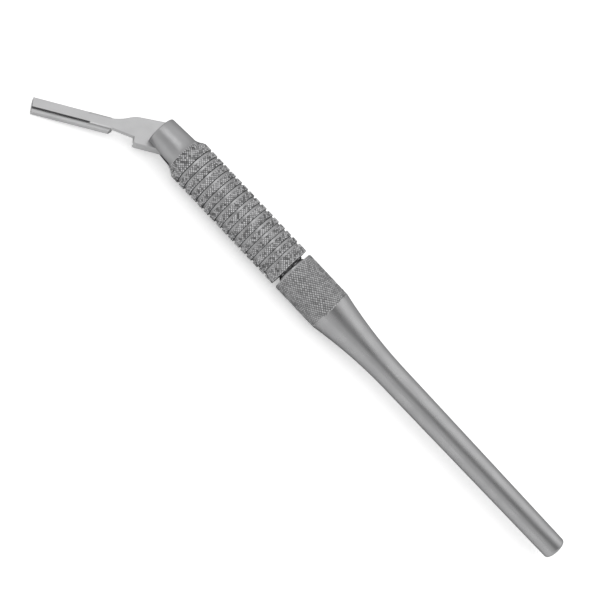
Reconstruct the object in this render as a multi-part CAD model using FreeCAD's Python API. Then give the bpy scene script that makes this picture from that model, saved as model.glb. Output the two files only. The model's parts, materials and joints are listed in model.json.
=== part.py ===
import FreeCAD, Part
import math
import os

from FreeCAD import Vector

# Scalpel handle whose blade carrier swings in a slotted nose and is locked by the rear half.
# All lengths are millimetres. Modelling frame: +X runs from the nose to the tail along the
# handle's axis, -Y is the side the carrier swings out to, +Z is square to the carrier's flat.
# The finished part is then rolled about its axis until it lies as it would on a table.

# Grip
grip_r = 5.35
nose_front_r = 3.75
nose_rear_r = 4.12
nose_length = 6.95
nose_edge = 0.3
flare_length = 2.2
flare_foot_length = 0.6
flare_foot_rise = 0.21
rib_pitch = 2.0
rib_count = 15
first_groove = 11.27
groove_width = 0.66
groove_depth = 0.48
rear_band = 2.28
grip_edge = 0.12

# Screw joint between the halves
stud_r = 3.58
stud_clearance = 0.05
stud_length = 15.4
stud_lead = 0.6
bore_lead = 0.3
bore_run_out = 1.0
lock_gap = 1.05

# Rear half
barrel_length = 12.0
barrel_edge = 0.3
blend_run = 21.0
blend_sag = 0.25
tail_front_r = 3.20
tail_end_r = 2.76
handle_length = 128.5
tail_edge = 0.7

# Slot and pivot
pivot_setback = 1.6
slot_length = 6.95
slot_near = -0.55
slot_width = 2.2
side_play = 0.05
pin_r = 0.8
pin_play = 0.03
pin_fit = 0.01
pin_blind_depth = 2.2
pin_end_gap = 0.2

# Lock rod
rod_r = 1.0
rod_play = 0.03
rod_heel_gap = 0.06
rod_stud_gap = 0.02
rod_tip_chamfer = 0.15

# Blade carrier, measured from the pivot along its own centre line
bend_at_rest = 39.0
reach = 29.55
tang_length = 17.95
tang_width = 3.64
tang_round = 0.91
tang_end_cut = 0.9
groove_length = 12.7
groove_floor = 0.55
groove_lip = 0.15
groove_core = 1.2
cutter_r = 1.0
neck_width = 2.6
neck_thickness = 0.75
neck_rise = 1.98
waist_at = 10.97
waist_round = 10.0
crown_at = 7.0
crown_height = 3.48
crown_round = 6.0
shoulder_at = 6.9
shoulder_round = 0.75
heel_r = 3.6
heel_back = 4.3
heel_seat_slant = 3.2
edge_break = 0.2

# Values that follow from the sizes above
grip_end = first_groove + (rib_count - 1) * rib_pitch + groove_width / 2 + rear_band
barrel_start = grip_end + lock_gap
barrel_end = barrel_start + barrel_length
stud_front = barrel_start - stud_length
bore_r = stud_r + stud_clearance
bore_floor = stud_front - bore_run_out
slot_far = slot_near - slot_width
plate_near = slot_near - side_play
plate_thickness = slot_width - 2 * side_play
plate_far = plate_near - plate_thickness
plate_middle = plate_near - plate_thickness / 2
rod_front = pivot_setback + heel_r + rod_heel_gap
rod_rear = stud_front - rod_stud_gap
tang_half = tang_width / 2
tang_flat_half = tang_half - tang_round
neck_half = neck_width / 2
neck_far = plate_near - neck_thickness
neck_end = reach - tang_length + tang_end_cut

# How far a cutter runs past the face that it opens, and when two points are one
cut_through = 1.0
same_point = 1e-6


def revolve_about_x(edges):
    """Turn a closed outline, drawn in the X and radius plane, about the handle's axis."""
    face = Part.Face(Part.Wire(edges))
    return face.revolve(Vector(0, 0, 0), Vector(1, 0, 0), 360)


def polyline(points):
    """Straight edges through (x, radius) points."""
    vectors = [Vector(x, r, 0) for x, r in points]
    return [Part.LineSegment(a, b).toShape() for a, b in zip(vectors, vectors[1:])]


def arc(start, middle, end):
    """Round edge through three (x, radius) points."""
    return Part.Arc(Vector(*start, 0), Vector(*middle, 0), Vector(*end, 0)).toShape()


def cylinder_x(radius, start, end, y=0.0, z=0.0):
    """Round bar or hole along the handle from start to end."""
    return Part.makeCylinder(radius, end - start, Vector(start, y, z), Vector(1, 0, 0))


def rib_groove(centre):
    """Ring of V section that leaves one groove between two ribs."""
    overshoot = 0.3
    top_half = groove_width / 2 * (1 + overshoot / groove_depth)
    floor_r = grip_r - groove_depth
    top_r = grip_r + overshoot
    outline = [
        (centre - top_half, top_r),
        (centre, floor_r),
        (centre + top_half, top_r),
        (centre - top_half, top_r),
    ]
    return revolve_about_x(polyline(outline))


def grip_blank():
    """Nose, flare and grip before the slot and the holes are cut."""
    outline = [
        (0, 0),
        (0, nose_front_r - nose_edge),
        (nose_edge, nose_front_r),
        (nose_length, nose_rear_r),
        (nose_length + flare_foot_length, nose_rear_r + flare_foot_rise),
        (nose_length + flare_length, grip_r),
        (grip_end - grip_edge, grip_r),
        (grip_end, grip_r - grip_edge),
        (grip_end, 0),
        (0, 0),
    ]
    return revolve_about_x(polyline(outline))


def nose_slot():
    """Slot milled right across the nose, to one side of the axis."""
    span = 2 * (grip_r + cut_through)
    return Part.makeBox(
        cut_through + slot_length,
        span,
        slot_width,
        Vector(-cut_through, -span / 2, slot_far),
    )


def make_front_grip():
    body = grip_blank()
    grooves = [rib_groove(first_groove + i * rib_pitch) for i in range(rib_count)]
    cutters = grooves + [
        nose_slot(),
        cylinder_x(bore_r, bore_floor, grip_end + cut_through),
        Part.makeCone(
            bore_r,
            bore_r + bore_lead,
            bore_lead,
            Vector(grip_end - bore_lead, 0, 0),
            Vector(1, 0, 0),
        ),
        cylinder_x(
            rod_r + rod_play,
            slot_length - cut_through,
            bore_floor + cut_through,
            z=plate_middle,
        ),
        pin_bar(pin_r + pin_fit, -nose_rear_r - cut_through, pin_top() + pin_end_gap),
    ]
    return body.cut(cutters).removeSplitter()


def pin_top():
    """Height of the pin's blind end in the thick cheek."""
    return slot_near + pin_blind_depth


def pin_bar(radius, low, high):
    """Round bar through the pivot, square to the carrier's flat."""
    return Part.makeCylinder(radius, high - low, Vector(pivot_setback, 0, low), Vector(0, 0, 1))


def make_pivot_pin():
    """Pin ground flush with the outside of the thin cheek."""
    bar = pin_bar(pin_r, -nose_rear_r - cut_through, pin_top())
    return bar.common(grip_blank()).removeSplitter()


def make_lock_rod():
    rod = cylinder_x(rod_r, rod_front, rod_rear, z=plate_middle)
    rims = [e for e in rod.Edges if e.Length > 0 and isinstance(e.Curve, Part.Circle)]
    return rod.makeChamfer(rod_tip_chamfer, rims)


def make_rear_handle():
    """Stud, neck, knurled barrel, hollow-sided taper and long tail in one turning."""
    blend_end = barrel_end + blend_run
    end_span = handle_length - blend_end
    slope = (tail_front_r - tail_end_r) / end_span
    drop = grip_r - tail_front_r
    middle_r = tail_front_r + (drop + slope * blend_run) * blend_sag
    edges = polyline(
        [
            (stud_front, 0),
            (stud_front, stud_r - stud_lead),
            (stud_front + stud_lead, stud_r),
            (barrel_start, stud_r),
            (barrel_start, grip_r - barrel_edge),
            (barrel_start + barrel_edge, grip_r),
            (barrel_end, grip_r),
        ]
    )
    edges.append(
        arc(
            (barrel_end, grip_r),
            (barrel_end + blend_run / 2, middle_r),
            (blend_end, tail_front_r),
        )
    )
    edges += polyline([(blend_end, tail_front_r), (handle_length - tail_edge, tail_end_r)])
    lean = tail_edge * (1 - math.sqrt(0.5))
    edges.append(
        arc(
            (handle_length - tail_edge, tail_end_r),
            (handle_length - lean, tail_end_r - lean),
            (handle_length, tail_end_r - tail_edge),
        )
    )
    edges += polyline([(handle_length, tail_end_r - tail_edge), (handle_length, 0), (stud_front, 0)])
    return revolve_about_x(edges)


def plate(edges, low, high):
    """Flat piece in the carrier's own plane, between two heights."""
    face = Part.Face(Part.Wire(edges))
    face.translate(Vector(0, 0, low))
    return face.extrude(Vector(0, 0, high - low))


def rounded_outline(corners):
    """Closed outline through (x, y, radius) corners, each rounded by a tangent arc."""
    places = [Vector(x, y, 0) for x, y, _ in corners]
    starts = []
    ends = []
    arcs = []
    for index, (_, _, radius) in enumerate(corners):
        corner = places[index]
        back = (places[index - 1] - corner).normalize()
        ahead = (places[(index + 1) % len(places)] - corner).normalize()
        half_angle = back.getAngle(ahead) / 2
        run = radius / math.tan(half_angle)
        bulge = radius / math.sin(half_angle) - radius
        starts.append(corner + back * run)
        ends.append(corner + ahead * run)
        middle = corner + (back + ahead).normalize() * bulge
        arcs.append(Part.Arc(starts[-1], middle, ends[-1]).toShape() if radius else None)
    edges = []
    for index, bend in enumerate(arcs):
        if bend:
            edges.append(bend)
        start = ends[index]
        end = starts[(index + 1) % len(starts)]
        if start.distanceToPoint(end) > same_point:
            edges.append(Part.LineSegment(start, end).toShape())
    return edges


def blank_outline():
    """Plan of the blank: neck, crowned shoulder, root and round heel."""
    return rounded_outline(
        [
            (reach, -neck_half, 0),
            (reach, neck_half, 0),
            (reach - tang_length, neck_half, 0),
            (shoulder_at, neck_rise, 0),
            (shoulder_at, heel_r, shoulder_round),
            (-heel_r, heel_r, heel_r),
            (-heel_r, -heel_back, heel_r),
            (crown_at, -crown_height, crown_round),
            (waist_at, -neck_half, waist_round),
        ]
    )


def make_blank():
    """Flat blank with the edges of both faces broken."""
    blank = plate(blank_outline(), plate_far, plate_near)
    flat_edges = [edge for edge in blank.Edges if edge.BoundBox.ZLength < same_point]
    return blank.makeChamfer(edge_break, flat_edges)


def root_block():
    """Block that takes in the root and heel, up to the slanted seat for a blade's heel."""
    side = 2 * heel_r
    middle = shoulder_at - heel_seat_slant / 2
    outline = [
        (-side, -side),
        (middle - heel_seat_slant, -side),
        (middle + heel_seat_slant, side),
        (-side, side),
        (-side, -side),
    ]
    return plate(polyline(outline), plate_far, plate_near)


def neck_slab():
    """Slab that takes in the blank down to the underside of its neck, and ends in the tang."""
    side = 2 * heel_r
    return Part.makeBox(
        side + neck_end,
        2 * side,
        neck_thickness,
        Vector(-side, -side, neck_far),
    )


def tang_section():
    """Section across the tang: a narrow near flat, round shoulders and a wide far flat."""
    lean = tang_round * (1 - math.sqrt(0.5))
    points = (
        (tang_flat_half, plate_near),
        (tang_half - lean, plate_near - lean),
        (tang_half, plate_near - tang_round),
        (tang_half, plate_far + edge_break),
        (tang_half - edge_break, plate_far),
    )
    top, shoulder, side, low, foot = [Vector(reach, y, z) for y, z in points]
    half = [
        Part.Arc(top, shoulder, side).toShape(),
        Part.LineSegment(side, low).toShape(),
        Part.LineSegment(low, foot).toShape(),
    ]
    other = [edge.mirror(Vector(0, 0, 0), Vector(0, 1, 0)) for edge in half]
    flats = [
        Part.LineSegment(end, Vector(end.x, -end.y, end.z)).toShape()
        for end in (top, foot)
    ]
    return Part.Face(Part.Wire(Part.sortEdges(half + other + flats)[0]))


def make_tang():
    """Round-shouldered bar whose rear corners are cut off at a slant."""
    rear = reach - tang_length
    bar = tang_section().extrude(Vector(-tang_length, 0, 0))
    plan = [
        (reach, -tang_half),
        (reach, tang_half),
        (rear + tang_end_cut, tang_half),
        (rear, tang_half - tang_end_cut),
        (rear, tang_end_cut - tang_half),
        (rear + tang_end_cut, -tang_half),
        (reach, -tang_half),
    ]
    return bar.common(plate(polyline(plan), plate_far, plate_near))


def side_cut(side, inner, high):
    """Cut along one side of the tang, its floor rising behind to the rim of a round cutter."""
    floor = plate_near - groove_floor
    rise = math.sqrt(cutter_r**2 - (cutter_r - groove_floor) ** 2)
    start = reach - groove_length + rise
    low_y = inner if side > 0 else -inner - tang_half
    length = reach + cut_through - start
    bar = Part.makeBox(length, tang_half, high - floor, Vector(start, low_y, floor))
    rim = Part.makeCylinder(
        cutter_r,
        tang_half,
        Vector(start, low_y, floor + cutter_r),
        Vector(0, 1, 0),
    )
    level = Part.makeBox(
        2 * cutter_r,
        tang_half,
        high - floor,
        Vector(start - cutter_r, low_y, floor),
    )
    return bar.fuse(rim.common(level))


def make_blade_carrier():
    """Thin neck, thick root and heel, and a tang with a blade groove along each side."""
    arm = make_blank().common(neck_slab().fuse(root_block()))
    cutters = [
        Part.makeCylinder(
            pin_r + pin_play,
            plate_thickness + 2 * cut_through,
            Vector(0, 0, plate_far - cut_through),
            Vector(0, 0, 1),
        )
    ]
    for side in (-1, 1):
        cutters.append(side_cut(side, tang_flat_half, plate_near + cut_through))
        cutters.append(side_cut(side, groove_core / 2, plate_near - groove_lip))
    return arm.fuse(make_tang()).cut(cutters).removeSplitter()


def seat_carrier(shape):
    """Turn the carrier to its bend and set its hole on the pivot."""
    seated = shape.copy()
    seated.rotate(Vector(0, 0, 0), Vector(0, 0, 1), 180 + bend_at_rest)
    seated.translate(Vector(pivot_setback, 0, 0))
    return seated


def resting_roll():
    """Roll at which the ribs and the tip of the tang touch the table together."""
    bend = math.radians(bend_at_rest)
    tip_out = reach * math.sin(bend) + tang_half * math.cos(bend)
    tip_span = math.hypot(tip_out, plate_far)
    return math.degrees(math.asin(grip_r / tip_span) - math.atan2(-plate_far, tip_out))


def lay_down(shapes):
    """Roll the part to its rest and set the origin below the middle of its box."""
    placed = {}
    for name, shape in shapes.items():
        rolled = shape.copy()
        rolled.rotate(Vector(0, 0, 0), Vector(1, 0, 0), resting_roll())
        placed[name] = rolled
    box = Part.makeCompound(list(placed.values())).optimalBoundingBox(False, False)
    shift = Vector(-box.Center.x, -box.Center.y, grip_r)
    for shape in placed.values():
        shape.translate(shift)
    return placed, shift


def main():
    shapes = {
        "front_grip": make_front_grip(),
        "blade_carrier": seat_carrier(make_blade_carrier()),
        "pivot_pin": make_pivot_pin(),
        "lock_rod": make_lock_rod(),
        "rear_handle": make_rear_handle(),
    }
    placed, shift = lay_down(shapes)
    os.makedirs("parts", exist_ok=True)
    for name, shape in placed.items():
        shape.exportStep("parts/" + name + ".step")
        print(name, shape.isValid(), len(shape.Solids), round(shape.Volume, 2))
    roll = math.radians(resting_roll())
    print("roll", round(resting_roll(), 3), "shift", [round(v, 4) for v in shift])
    print("pivot", [round(v / 1000, 6) for v in (pivot_setback + shift.x, shift.y, shift.z)])
    print("pivot axis", [0, round(-math.sin(roll), 6), round(math.cos(roll), 6)])


main()
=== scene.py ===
import json
import math

import bpy
import numpy as np
from mathutils import Matrix, Vector


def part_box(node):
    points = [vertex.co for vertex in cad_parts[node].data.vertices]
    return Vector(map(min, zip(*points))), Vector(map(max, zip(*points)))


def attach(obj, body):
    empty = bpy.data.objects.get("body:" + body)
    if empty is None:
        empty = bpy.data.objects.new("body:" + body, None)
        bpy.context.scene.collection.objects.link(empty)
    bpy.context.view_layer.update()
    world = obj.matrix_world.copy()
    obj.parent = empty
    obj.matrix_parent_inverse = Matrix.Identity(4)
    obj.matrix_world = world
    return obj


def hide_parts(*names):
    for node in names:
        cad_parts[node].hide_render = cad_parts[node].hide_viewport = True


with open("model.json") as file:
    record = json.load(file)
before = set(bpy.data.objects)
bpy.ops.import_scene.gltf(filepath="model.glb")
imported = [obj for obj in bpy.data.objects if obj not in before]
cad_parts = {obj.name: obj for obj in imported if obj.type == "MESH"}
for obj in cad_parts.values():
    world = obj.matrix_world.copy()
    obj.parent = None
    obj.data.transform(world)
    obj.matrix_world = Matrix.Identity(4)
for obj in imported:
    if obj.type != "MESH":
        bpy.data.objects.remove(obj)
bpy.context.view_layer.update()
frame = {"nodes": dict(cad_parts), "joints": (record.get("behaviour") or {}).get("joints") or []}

# Scalpel handle on a white table, seen from above. The turned sizes are millimetres, measured
# along the handle from its nose, and everything in the scene itself is metres.
MM = 0.001

# The handle's own axis in the frame: it lies along X at the height of the grip's radius
grip_low, grip_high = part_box("front_grip")
rear_low, rear_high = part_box("rear_handle")
AXIS_Z = rear_high[2] / 2
AXIS_Y = (rear_low[1] + rear_high[1]) / 2
NOSE_X = grip_low[0]

# The photograph's camera
IMAGE_SIZE = 600
FOCAL_PX = 1155
MM_PER_PX = 0.2232
SENSOR_WIDTH = 36.0
CARRIER_ROLL = math.radians(33.0)
AXIS_SLOPE = math.radians(46.7)
TARGET_ALONG_PX = 219.0
TARGET_ASIDE_PX = 14.7

# Nose, flare and grip
GRIP_R = 5.35
NOSE_FRONT_R = 3.75
NOSE_REAR_R = 4.12
NOSE_LENGTH = 6.95
NOSE_EDGE = 0.3
NOSE_STEP = 1.2
FLARE_FOOT = (7.55, 4.33)
FLARE_END = 9.15
RIB_PITCH = 2.0
RIB_COUNT = 15
FIRST_GROOVE = 11.27
GROOVE_HALF = 0.34
GROOVE_FLOOR_START = -0.2
GROOVE_FLOOR_END = 0.31
GROOVE_DEPTH = 0.46
GRIP_END = 41.88
GRIP_EDGE = 0.12
BORE_R = 3.63
BORE_FLOOR = 26.53
BORE_LEAD = 0.3

# Rear half
STUD_R = 3.58
STUD_FRONT = 27.53
STUD_LEAD = 0.6
BARREL_START = 42.93
BARREL_END = 54.93
BARREL_EDGE = 0.3
BLEND_END = 75.93
BLEND_SAG = 0.25
BLEND_STEPS = 140
TAIL_FRONT_R = 3.20
TAIL_END_R = 2.76
TAIL_EDGE = 0.7
TAIL_STEP = 6
HANDLE_LENGTH = 128.5

# Slot, pivot and rod hole: stations, and levels square to the carrier's flat
SLOT_LENGTH = 6.95
SLOT_NEAR = -0.55
SLOT_FAR = -2.75
SLOT_SPAN = 16
PIVOT_SETBACK = 1.6
PIN_HOLE_R = 0.81
PIN_HOLE_START = -5
PIN_HOLE_TOP = 1.85
ROD_HOLE_R = 1.03
ROD_LEVEL = -1.65
CUT_THROUGH = 1
HOLE_SIDES = 48

# Knurls: diamonds round the piece, mesh steps in a diamond, and sizes
GRIP_DIAMONDS = 50
GRIP_STEPS = 6
GRIP_KNURL_PITCH = 0.672
GRIP_KNURL_DEPTH = 0.20
BARREL_DIAMONDS = 54
BARREL_STEPS = 6
BARREL_KNURL_PITCH = 0.86
BARREL_KNURL_DEPTH = 0.17
RAGGED_EDGE = 0.35

# Wear of the knurls, as shares of their height: the lowest points and how much higher others
# are, the shallowest bite of the tool, and how much the dirt and painted shade differ between
# diamonds
GRIP_LOWEST_POINT = 0.45
BARREL_LOWEST_POINT = 0.5
POINT_SPREAD = 0.7
GRIP_LEAST_BITE = 0.65
BARREL_LEAST_BITE = 0.55
GRIP_SCATTER = 1.1
BARREL_SCATTER = 0.55

# Thread on the stud
THREAD_PITCH = 0.8
THREAD_DEPTH = 0.42
THREAD_STEPS = 5
THREAD_RELIEF = 0.25
THREAD_RUN_OUT = 0.2

# How far from an edge a relief stops, and how near two radii count as one
MARGIN = 0.05
SAME_RADIUS = 0.02
BARREL_BAND = 0.2

# Painted shade on a groove's floor and on the thread, from 0 for bare steel to 1 for the darkest
# shade
GROOVE_SHADE = 0.58
THREAD_FLOOR_SHADE = 0.8
THREAD_CREST_SHADE = 0.5

# Steel: grazing reflection, knurled gloss, tool marks and where hollows turn dark with dirt and
# painted shade
RIM_TINT = 0.35
KNURL_ROUGHNESS = 0.46
DIRT_AND_SHADE_START = 0.55
CLOUD_SIZE = (0.004, 0.0025, 0.0025)
MARK_STRENGTH = 0.12
MARK_DEPTH = 0.00005
TURNING_MARKS = (0.00012, 0.02, 0.02)
GRINDING_MARKS = (0.006, 0.00012, 0.00012)
CROSS_MARKS = (0.0002, 0.0002, 0.02)
TANG_DIRECTION = (-0.777146, -0.623675)
SMOOTH_BELOW = math.radians(28)

# Studio: brightness of the table, of the room's pale and dim sides and of the lamp
TABLE_SIZE = 8.0
TABLE_WHITE = 0.9
TABLE_GLOW = 0.4
TABLE_GLOW_IN_METAL = 0.05
PALE_SIDE = 0.86
PALE_TAIL = 1.09
PALE_LOW = 0.66
DIM_HIGH = 0.26
DIM_LOW = 0.72
ROOM_FILL = 0.88
SIDE_AXIS = (0.707, -0.707, 0.0)
BACKDROP_TOP = 0.03
BACKDROP_FADE = 0.04
LAMP_PLACE = (-0.153, -0.259, 0.6)
LAMP_TURN = math.radians(-24.8)
LAMP_WIDTH = 0.36
LAMP_LENGTH = 0.52
LAMP_RADIANCE = 0.75


def resting_roll():
    """Angle that the carrier's plane is rolled about the handle, read from its hinge axis."""
    for joint in frame["joints"]:
        if joint["name"] == "carrier_swing":
            return math.atan2(-joint["axis"][1], joint["axis"][2])
    return 0.0


ROLL = resting_roll()


def make_camera():
    """Camera of the photograph, aimed from above and rolled so that the handle runs downwards."""
    turn = Matrix.Rotation(ROLL, 3, "X")
    out = turn @ Vector((0, -1, 0))
    square = turn @ Vector((0, 0, 1))
    toward = square * math.cos(CARRIER_ROLL) + out * math.sin(CARRIER_ROLL)
    aside = square * math.sin(CARRIER_ROLL) - out * math.cos(CARRIER_ROLL)
    along = Vector((1, 0, 0))
    distance = FOCAL_PX * MM_PER_PX * MM
    target = Vector((NOSE_X, AXIS_Y, AXIS_Z))
    target += along * (TARGET_ALONG_PX * MM_PER_PX * MM) - aside * (TARGET_ASIDE_PX * MM_PER_PX * MM)
    right = along * math.cos(AXIS_SLOPE) + aside * math.sin(AXIS_SLOPE)
    up = -along * math.sin(AXIS_SLOPE) + aside * math.cos(AXIS_SLOPE)
    data = bpy.data.cameras.new("photo_camera")
    data.sensor_width = SENSOR_WIDTH
    data.lens = SENSOR_WIDTH * FOCAL_PX / IMAGE_SIZE
    data.clip_start = 0.01
    data.clip_end = 20.0
    camera = bpy.data.objects.new("photo_camera", data)
    bpy.context.collection.objects.link(camera)
    axes = Matrix((right, up, toward)).transposed().to_4x4()
    camera.matrix_world = Matrix.Translation(target + toward * distance) @ axes
    bpy.context.scene.camera = camera


def place(station, up=0.0):
    """Point in the frame from millimetres along the handle and above its axis."""
    return Vector((NOSE_X + station * MM, AXIS_Y, AXIS_Z + up * MM))


def rolled(station, level):
    """Point at a level square to the carrier's flat, in the frame."""
    offset = Matrix.Rotation(ROLL, 3, "X") @ Vector((0, 0, level * MM))
    return Vector((NOSE_X + station * MM, AXIS_Y, AXIS_Z)) + offset


def lathe(name, outline, segments):
    """Closed turning: the outline is drawn point by point and spun about the handle's axis."""
    bpy.ops.object.select_all(action="DESELECT")
    bpy.ops.mesh.primitive_plane_add(size=MM, location=place(*outline[0]))
    turned = bpy.context.active_object
    turned.name = name
    bpy.ops.object.mode_set(mode="EDIT")
    bpy.ops.mesh.merge(type="CENTER")
    for (s0, r0), (s1, r1) in zip(outline, outline[1:]):
        step = ((s1 - s0) * MM, 0, (r1 - r0) * MM)
        bpy.ops.mesh.extrude_region_move(TRANSFORM_OT_translate={"value": step})
    bpy.ops.mesh.select_all(action="SELECT")
    bpy.ops.mesh.spin(
        steps=segments,
        angle=2 * math.pi,
        center=place(0),
        axis=(1, 0, 0),
    )
    bpy.ops.mesh.select_all(action="SELECT")
    bpy.ops.mesh.remove_doubles(threshold=2e-6)
    bpy.ops.mesh.normals_make_consistent(inside=False)
    bpy.ops.object.mode_set(mode="OBJECT")
    bpy.ops.object.transform_apply(location=True, rotation=True, scale=True)
    return turned


def cut(piece, cutter):
    """Take the cutter's shape out of the piece."""
    modifier = piece.modifiers.new("cut", "BOOLEAN")
    modifier.operation = "DIFFERENCE"
    modifier.solver = "EXACT"
    modifier.object = cutter
    bpy.context.view_layer.objects.active = piece
    bpy.ops.object.modifier_apply(modifier=modifier.name)
    bpy.data.objects.remove(cutter)


def drill(radius, start, end):
    """Round cutter between two points."""
    bpy.ops.object.select_all(action="DESELECT")
    run = end - start
    bpy.ops.mesh.primitive_cylinder_add(
        vertices=HOLE_SIDES,
        radius=radius * MM,
        depth=run.length,
        location=(start + end) / 2,
        rotation=run.to_track_quat("Z", "Y").to_euler(),
    )
    return bpy.context.active_object


def slot_cutter():
    """Flat cutter that opens the nose on both sides, in the carrier's plane."""
    bpy.ops.object.select_all(action="DESELECT")
    bpy.ops.mesh.primitive_cube_add(
        size=MM,
        location=rolled((SLOT_LENGTH - CUT_THROUGH) / 2, (SLOT_NEAR + SLOT_FAR) / 2),
        rotation=(ROLL, 0, 0),
        scale=(SLOT_LENGTH + CUT_THROUGH, SLOT_SPAN, SLOT_NEAR - SLOT_FAR),
    )
    return bpy.context.active_object


def polar(piece):
    """Station, radius and turn of every vertex about the handle's axis, in millimetres."""
    points = np.empty(len(piece.data.vertices) * 3)
    piece.data.vertices.foreach_get("co", points)
    points = points.reshape(-1, 3)
    side = (points[:, 1] - AXIS_Y) / MM
    up = (points[:, 2] - AXIS_Z) / MM
    return (points[:, 0] - NOSE_X) / MM, np.hypot(side, up), np.arctan2(side, up)


def set_radius(piece, station, radius, turn):
    """Put every vertex back at a new radius."""
    points = np.stack(
        [
            NOSE_X + station * MM,
            AXIS_Y + radius * np.sin(turn) * MM,
            AXIS_Z + radius * np.cos(turn) * MM,
        ],
        axis=1,
    )
    piece.data.vertices.foreach_set("co", points.ravel())
    piece.data.update()


def wave(phase):
    """Straight-sided wave from 0 at whole numbers to 1 half way between them."""
    return 1 - np.abs(2 * (phase - np.floor(phase)) - 1)


def worn_knurl(station, turn, diamonds, pitch, lowest_point):
    """Height of a crossed knurl with worn points, from 0 in its grooves, and each diamond's wear."""
    around = turn * diamonds / (2 * math.pi)
    along = station / pitch
    first = around + along
    second = around - along
    # A fixed random number between 0 and 1 for each diamond, from the numbers of its two grooves
    across = np.mod(np.floor(first) + np.floor(second), 2 * diamonds)
    value = np.sin(across * 12.9898 + (np.floor(first) - np.floor(second)) * 78.233) * 43758.5453
    wear = value - np.floor(value)
    height = np.minimum(wave(first), wave(second))
    return np.minimum(height, lowest_point + POINT_SPREAD * wear), wear


def unevenness(station, turn, seed):
    """Slow wandering value between 0 and 1, for the uneven bite of a knurling tool."""
    value = np.sin(1.9 * station + 2 * turn + seed)
    value += np.sin(0.83 * station - 3 * turn + 2.1 * seed)
    value += np.sin(3.7 * station + 5 * turn + 0.7 * seed)
    value += np.sin(2.6 * station - 7 * turn + 1.3 * seed)
    return np.clip(0.5 + value / 5, 0, 1)


def bite(station, turn, least, seed):
    """Share of a knurl's full depth that the tool reached."""
    return least + (1 - least) * unevenness(station, turn, seed)


def knurl_dirt_and_shade(knurl, wear, scatter):
    """How dark a spot of a knurl is made, from 0 on a sharp polished point to 1 for the dirt and
    painted shade of its hollows.
    """
    return np.clip(1.1 - knurl * (0.9 + scatter * (wear - 0.5)), 0, 1)


def mark(piece, name, values):
    """Keep one number for each vertex, for the piece's material."""
    layer = piece.data.attributes.new(name, "FLOAT", "POINT")
    layer.data.foreach_set("value", np.ascontiguousarray(values, dtype=np.float32))


def finish_shading(piece):
    """Shade the round stretches smooth and leave the edges sharp."""
    bpy.ops.object.select_all(action="DESELECT")
    piece.select_set(True)
    bpy.context.view_layer.objects.active = piece
    bpy.ops.object.shade_smooth_by_angle(angle=SMOOTH_BELOW)


def spread(start, end, step):
    """Stations from start to end, as near to the step apart as they divide evenly."""
    count = max(1, round(abs(end - start) / step))
    return [start + (end - start) * i / count for i in range(count + 1)]


def slope_points(start, end, step):
    """Points down a straight slope between two (station, radius) points, without the first."""
    (s0, r0), (s1, r1) = start, end
    return [(s, r0 + (r1 - r0) * (s - s0) / (s1 - s0)) for s in spread(s0, s1, step)[1:]]


def grip_outline():
    """Outline of the grip from the floor of its bore, round the rear end, to the nose."""
    step = GRIP_KNURL_PITCH / GRIP_STEPS
    outline = [
        (BORE_FLOOR, 0),
        (BORE_FLOOR, BORE_R),
        (GRIP_END - BORE_LEAD, BORE_R),
        (GRIP_END, BORE_R + BORE_LEAD),
        (GRIP_END, GRIP_R - GRIP_EDGE),
        (GRIP_END - GRIP_EDGE, GRIP_R),
    ]
    for index in reversed(range(RIB_COUNT)):
        centre = FIRST_GROOVE + index * RIB_PITCH
        outline += slope_points(outline[-1], (centre + GROOVE_HALF, GRIP_R), step)
        outline += [
            (centre + GROOVE_FLOOR_END, GRIP_R - GROOVE_DEPTH),
            (centre + GROOVE_FLOOR_START, GRIP_R - GROOVE_DEPTH),
            (centre - GROOVE_HALF, GRIP_R),
        ]
    outline += slope_points(outline[-1], (FLARE_END, GRIP_R), step)
    outline += slope_points(outline[-1], FLARE_FOOT, step)
    outline += slope_points(outline[-1], (NOSE_LENGTH, NOSE_REAR_R), step)
    outline += slope_points(outline[-1], (NOSE_EDGE, NOSE_FRONT_R), NOSE_STEP)
    for degrees in (67.5, 45, 22.5, 0):
        angle = math.radians(degrees)
        outline.append(
            (
                NOSE_EDGE - NOSE_EDGE * math.cos(angle),
                NOSE_FRONT_R - NOSE_EDGE + NOSE_EDGE * math.sin(angle),
            )
        )
    outline.append((0, 0))
    return outline


def plain_radius(station):
    """Radius of the flare and the grip's lands without their knurl."""
    foot_s, foot_r = FLARE_FOOT
    part = np.clip((station - foot_s) / (FLARE_END - foot_s), 0, 1)
    return foot_r + (GRIP_R - foot_r) * part


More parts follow.
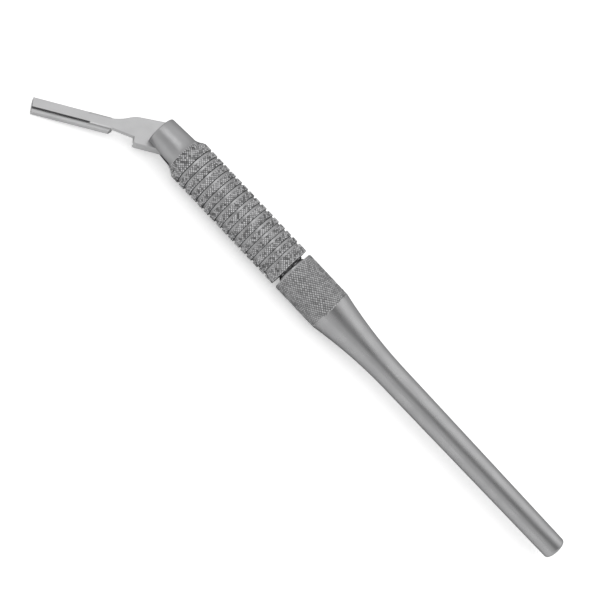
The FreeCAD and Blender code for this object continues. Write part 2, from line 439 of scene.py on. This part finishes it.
def make_grip():
    """Slotted nose, flare and ribbed grip with its bore and holes, and the knurl on its lands."""
    grip = lathe("knurled_grip", grip_outline(), GRIP_DIAMONDS * GRIP_STEPS)
    cut(grip, slot_cutter())
    rod_start = rolled(SLOT_LENGTH - CUT_THROUGH, ROD_LEVEL)
    cut(grip, drill(ROD_HOLE_R, rod_start, rolled(BORE_FLOOR + CUT_THROUGH, ROD_LEVEL)))
    pin_start = rolled(PIVOT_SETBACK, PIN_HOLE_START)
    cut(grip, drill(PIN_HOLE_R, pin_start, rolled(PIVOT_SETBACK, PIN_HOLE_TOP)))
    station, radius, turn = polar(grip)
    knurl, wear = worn_knurl(station, turn, GRIP_DIAMONDS, GRIP_KNURL_PITCH, GRIP_LOWEST_POINT)
    outside = (station > FLARE_FOOT[0] + MARGIN) & (station < GRIP_END - MARGIN / 5)
    outside &= radius > FLARE_FOOT[1]
    land = outside & (radius > plain_radius(station) - SAME_RADIUS)
    depth = bite(station, turn, GRIP_LEAST_BITE, 0.4) * GRIP_KNURL_DEPTH
    set_radius(grip, station, radius - np.where(land, (1 - knurl) * depth, 0), turn)
    # Painted shade: a little on the rib grooves, and with dirt on the knurl's hollows
    hollow_shade = np.where(outside, GROOVE_SHADE, 0)
    mark(grip, "hollow", np.where(land, knurl_dirt_and_shade(knurl, wear, GRIP_SCATTER), hollow_shade))
    mark(grip, "knurled", np.where(land, 1.0, 0.0))
    finish_shading(grip)
    return grip


def arc_through(start, middle, end, count):
    """Points on the circle through three points, from the first to the last."""
    ax, ay = start
    bx, by = middle
    cx, cy = end
    a2 = ax**2 + ay**2
    b2 = bx**2 + by**2
    c2 = cx**2 + cy**2
    d = 2 * (ax * (by - cy) + bx * (cy - ay) + cx * (ay - by))
    ux = (a2 * (by - cy) + b2 * (cy - ay) + c2 * (ay - by)) / d
    uy = (a2 * (cx - bx) + b2 * (ax - cx) + c2 * (bx - ax)) / d
    radius = math.hypot(ax - ux, ay - uy)
    first = math.atan2(ay - uy, ax - ux)
    last = math.atan2(cy - uy, cx - ux)
    angles = [first + (last - first) * i / count for i in range(count + 1)]
    return [(ux + radius * math.cos(a), uy + radius * math.sin(a)) for a in angles]


def handle_outline():
    """Outline of the rear half from the front of its stud to the end of the tail."""
    outline = [(STUD_FRONT, 0), (STUD_FRONT, STUD_R - STUD_LEAD)]
    thread_step = THREAD_PITCH / THREAD_STEPS
    outline += [(s, STUD_R) for s in spread(STUD_FRONT + STUD_LEAD, BARREL_START, thread_step)]
    outline.append((BARREL_START, GRIP_R - BARREL_EDGE))
    step = BARREL_KNURL_PITCH / BARREL_STEPS
    outline += [(s, GRIP_R) for s in spread(BARREL_START + BARREL_EDGE, BARREL_END, step)]
    slope = (TAIL_FRONT_R - TAIL_END_R) / (HANDLE_LENGTH - BLEND_END)
    run = BLEND_END - BARREL_END
    middle_r = TAIL_FRONT_R + (GRIP_R - TAIL_FRONT_R + slope * run) * BLEND_SAG
    middle = (BARREL_END + run / 2, middle_r)
    blend = arc_through((BARREL_END, GRIP_R), middle, (BLEND_END, TAIL_FRONT_R), BLEND_STEPS)
    # The front of the blend keeps short steps, because the ragged end of the knurl runs into it
    outline += blend[1:16] + blend[20::5]
    tail_end = HANDLE_LENGTH - TAIL_EDGE
    end_r = TAIL_FRONT_R - slope * (tail_end - BLEND_END)
    outline += slope_points((BLEND_END, TAIL_FRONT_R), (tail_end, end_r), TAIL_STEP)
    for degrees in range(75, -1, -15):
        angle = math.radians(degrees)
        outline.append(
            (
                tail_end + TAIL_EDGE * math.cos(angle),
                TAIL_END_R - TAIL_EDGE + TAIL_EDGE * math.sin(angle),
            )
        )
    outline.append((HANDLE_LENGTH, 0))
    return outline


def make_handle():
    """Threaded stud, knurled barrel and smooth tapered tail."""
    handle = lathe("tapered_handle", handle_outline(), BARREL_DIAMONDS * BARREL_STEPS)
    station, radius, turn = polar(handle)
    knurl, wear = worn_knurl(station, turn, BARREL_DIAMONDS, BARREL_KNURL_PITCH, BARREL_LOWEST_POINT)
    ragged_end = BARREL_END + RAGGED_EDGE * unevenness(station, 3 * turn, 1.9)
    outside = (station > BARREL_START + BARREL_EDGE / 2) & (station < ragged_end)
    outside &= radius > GRIP_R - BARREL_BAND
    depth = bite(station, turn, BARREL_LEAST_BITE, 2.7) * BARREL_KNURL_DEPTH
    drop = np.where(outside, (1 - knurl) * depth, 0)
    on_stud = (station > STUD_FRONT + 2 * MARGIN) & (station < BARREL_START - MARGIN)
    on_stud &= radius > STUD_R - MARGIN
    thread = wave(station / THREAD_PITCH - turn / (2 * math.pi))
    run_out = np.clip((BARREL_START - THREAD_RELIEF - station) / THREAD_RUN_OUT, 0, 1)
    drop = np.where(on_stud, THREAD_DEPTH * (1 - thread) * run_out, drop)
    set_radius(handle, station, radius - drop, turn)
    # Painted shade, darkest in the thread's roots; the barrel knurl's hollows get dirt and painted
    # shade
    thread_shade = THREAD_FLOOR_SHADE + (THREAD_CREST_SHADE - THREAD_FLOOR_SHADE) * thread
    hollow_shade = np.where(on_stud, thread_shade, 0)
    mark(handle, "hollow", np.where(outside, knurl_dirt_and_shade(knurl, wear, BARREL_SCATTER), hollow_shade))
    mark(handle, "knurled", np.where(outside, 1.0, 0.0))
    finish_shading(handle)
    return handle


def new_material(name):
    """Empty material, its main shader and its node tree."""
    material = bpy.data.materials.new(name)
    material.use_nodes = True
    return material, material.node_tree.nodes["Principled BSDF"], material.node_tree.links


def ramp(owner, value, start, end, low, high, smooth=False):
    """Number from low to high while the value goes from start to end; all may be node outputs."""
    node = owner.node_tree.nodes.new("ShaderNodeMapRange")
    if smooth:
        node.interpolation_type = "SMOOTHSTEP"
    settings = {"Value": value, "From Min": start, "From Max": end, "To Min": low, "To Max": high}
    for socket, setting in settings.items():
        if isinstance(setting, (int, float)):
            node.inputs[socket].default_value = setting
        else:
            owner.node_tree.links.new(setting, node.inputs[socket])
    return node.outputs["Result"]


def grain(material, size, turn=0.0):
    """Noise whose grains have the given size in metres, turned about Z."""
    nodes = material.node_tree.nodes
    links = material.node_tree.links
    coordinates = nodes.new("ShaderNodeTexCoord")
    mapping = nodes.new("ShaderNodeMapping")
    mapping.vector_type = "TEXTURE"
    mapping.inputs["Rotation"].default_value = (0, 0, turn)
    mapping.inputs["Scale"].default_value = size
    noise = nodes.new("ShaderNodeTexNoise")
    noise.inputs["Scale"].default_value = 1.0
    noise.inputs["Detail"].default_value = 3.0
    links.new(coordinates.outputs["Object"], mapping.inputs["Vector"])
    links.new(mapping.outputs["Vector"], noise.inputs["Vector"])
    return noise.outputs["Fac"]


def kept_value(material, name):
    """Number that the mesh keeps under a name."""
    node = material.node_tree.nodes.new("ShaderNodeAttribute")
    node.attribute_name = name
    return node.outputs["Fac"]


def mix_colours(material, factor, first, second):
    """Colour between two colours, each a tuple or another node's output."""
    node = material.node_tree.nodes.new("ShaderNodeMix")
    node.data_type = "RGBA"
    material.node_tree.links.new(factor, node.inputs["Factor"])
    for socket, colour in ((node.inputs["A"], first), (node.inputs["B"], second)):
        if isinstance(colour, tuple):
            socket.default_value = (*colour, 1)
        else:
            material.node_tree.links.new(colour, socket)
    return node.outputs["Result"]


def steel(name, bright, dull, roughness, marks, turn=0.0, knurl=None):
    """Ground steel: cloudy colour and gloss, fine tool marks, polished points, and hollows darkened
    by dirt and painted shade.
    """
    material, shader, links = new_material(name)
    shader.inputs["Metallic"].default_value = 1.0
    shader.inputs["Specular Tint"].default_value = (RIM_TINT, RIM_TINT, RIM_TINT, 1)
    cloud = ramp(material, grain(material, CLOUD_SIZE, turn), 0.3, 0.7, 0.0, 1.0)
    colour = mix_colours(material, cloud, dull, bright)
    gloss = ramp(material, cloud, 0.0, 1.0, roughness + 0.05, roughness - 0.04)
    if knurl:
        points, hollows = knurl
        polished = tuple(points * value for value in bright)
        # Hollows blend towards a darker copy of the steel, which stands for dirt and painted shade
        dirt_and_shade = tuple(hollows * value for value in dull)
        knurled = kept_value(material, "knurled")
        depth = ramp(material, kept_value(material, "hollow"), DIRT_AND_SHADE_START, 1.0, 0.0, 1.0)
        colour = mix_colours(material, knurled, colour, polished)
        colour = mix_colours(material, depth, colour, dirt_and_shade)
        gloss = ramp(material, knurled, 0.0, 1.0, gloss, KNURL_ROUGHNESS)
    links.new(colour, shader.inputs["Base Color"])
    links.new(gloss, shader.inputs["Roughness"])
    bump = material.node_tree.nodes.new("ShaderNodeBump")
    bump.inputs["Strength"].default_value = MARK_STRENGTH
    bump.inputs["Distance"].default_value = MARK_DEPTH
    links.new(grain(material, marks, turn), bump.inputs["Height"])
    links.new(bump.outputs["Normal"], shader.inputs["Normal"])
    return material


def dress(piece, material):
    """Give the piece one material."""
    piece.data.materials.clear()
    piece.data.materials.append(material)


def seen_directly(owner, strength, strength_in_metal):
    """Strength for rays that come from the camera or by way of metal or glass, and else 0."""
    nodes = owner.node_tree.nodes
    links = owner.node_tree.links
    path = nodes.new("ShaderNodeLightPath")
    total = None
    for output, share in (
        ("Is Camera Ray", strength),
        ("Is Glossy Ray", strength_in_metal),
        ("Is Transmission Ray", strength_in_metal),
    ):
        part = nodes.new("ShaderNodeMath")
        part.operation = "MULTIPLY"
        part.inputs[1].default_value = share
        links.new(path.outputs[output], part.inputs[0])
        if total is None:
            total = part.outputs[0]
            continue
        either = nodes.new("ShaderNodeMath")
        either.operation = "MAXIMUM"
        links.new(total, either.inputs[0])
        links.new(part.outputs[0], either.inputs[1])
        total = either.outputs[0]
    return total


def make_table():
    """White table that glows a little to the eye, so that its far parts stay white."""
    bpy.ops.object.select_all(action="DESELECT")
    bpy.ops.mesh.primitive_plane_add(size=TABLE_SIZE, location=(0, 0, 0))
    table = bpy.context.active_object
    table.name = "table"
    material, shader, links = new_material("white_table")
    shader.inputs["Base Color"].default_value = (TABLE_WHITE, TABLE_WHITE, TABLE_WHITE, 1)
    shader.inputs["Roughness"].default_value = 0.9
    shader.inputs["Specular IOR Level"].default_value = 0.0
    shader.inputs["Emission Color"].default_value = (1, 1, 1, 1)
    glow = seen_directly(material, TABLE_GLOW, TABLE_GLOW_IN_METAL)
    links.new(glow, shader.inputs["Emission Strength"])
    dress(table, material)


def make_world():
    """Studio that is pale on one side and dim on the other, with a low white backdrop all round."""
    world = bpy.data.worlds.new("studio")
    world.use_nodes = True
    nodes = world.node_tree.nodes
    links = world.node_tree.links
    coordinates = nodes.new("ShaderNodeTexCoord")
    axes = nodes.new("ShaderNodeSeparateXYZ")
    links.new(coordinates.outputs["Generated"], axes.inputs["Vector"])
    side = nodes.new("ShaderNodeVectorMath")
    side.operation = "DOT_PRODUCT"
    side.inputs[1].default_value = SIDE_AXIS
    links.new(coordinates.outputs["Generated"], side.inputs[0])
    pale_high = ramp(world, axes.outputs["X"], -0.3, 0.2, PALE_SIDE, PALE_TAIL)
    pale = ramp(world, axes.outputs["Z"], 0.15, 0.75, PALE_LOW, pale_high)
    dim = ramp(world, axes.outputs["Z"], 0.4, 0.85, DIM_LOW, DIM_HIGH, smooth=True)
    room = ramp(world, side.outputs["Value"], -0.02, 0.5, pale, dim, smooth=True)
    low = ramp(world, axes.outputs["Z"], BACKDROP_TOP + BACKDROP_FADE, BACKDROP_TOP, 0.0, 1.0)
    backdrop = nodes.new("ShaderNodeMath")
    backdrop.operation = "MULTIPLY"
    links.new(low, backdrop.inputs[0])
    links.new(seen_directly(world, 1.0, 1.0), backdrop.inputs[1])
    seen = ramp(world, backdrop.outputs[0], 0.0, 1.0, room, 1.0)
    path = nodes.new("ShaderNodeLightPath")
    strength = ramp(world, path.outputs["Is Diffuse Ray"], 0.0, 1.0, seen, ROOM_FILL)
    background = nodes["Background"]
    background.inputs["Color"].default_value = (1, 1, 1, 1)
    links.new(strength, background.inputs["Strength"])
    bpy.context.scene.world = world


def hang_softbox():
    """Long lamp of even brightness that hangs level over the nose's side of the table."""
    bpy.ops.object.light_add(type="AREA", location=LAMP_PLACE, rotation=(0, 0, LAMP_TURN))
    lamp = bpy.context.active_object
    lamp.name = "strip_softbox"
    lamp.data.shape = "RECTANGLE"
    lamp.data.size = LAMP_WIDTH
    lamp.data.size_y = LAMP_LENGTH
    lamp.data.energy = LAMP_RADIANCE * math.pi * LAMP_WIDTH * LAMP_LENGTH


make_camera()
make_world()
make_table()
hang_softbox()

grip = make_grip()
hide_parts("front_grip")
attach(grip, "front")
handle = make_handle()
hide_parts("rear_handle")
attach(handle, "rear")

grip_steel = steel(
    "grip_steel",
    bright=(0.425, 0.425, 0.43),
    dull=(0.38, 0.38, 0.385),
    roughness=0.32,
    marks=TURNING_MARKS,
    knurl=(1.65, 0.28),
)
handle_steel = steel(
    "handle_steel",
    bright=(0.455, 0.455, 0.46),
    dull=(0.415, 0.415, 0.42),
    roughness=0.28,
    marks=TURNING_MARKS,
    knurl=(1.25, 0.34),
)
carrier_steel = steel(
    "carrier_steel",
    bright=(0.6, 0.6, 0.605),
    dull=(0.56, 0.56, 0.565),
    roughness=0.32,
    marks=GRINDING_MARKS,
    turn=math.atan2(TANG_DIRECTION[1], TANG_DIRECTION[0]),
)
pin_steel = steel(
    "pin_steel",
    bright=(0.55, 0.55, 0.56),
    dull=(0.48, 0.48, 0.49),
    roughness=0.25,
    marks=CROSS_MARKS,
)
rod_steel = steel(
    "rod_steel",
    bright=(0.5, 0.5, 0.51),
    dull=(0.42, 0.42, 0.43),
    roughness=0.3,
    marks=TURNING_MARKS,
)
dress(grip, grip_steel)
dress(handle, handle_steel)
dress(frame["nodes"]["blade_carrier"], carrier_steel)
dress(frame["nodes"]["pivot_pin"], pin_steel)
dress(frame["nodes"]["lock_rod"], rod_steel)

bpy.context.scene.view_settings.view_transform = "Standard"
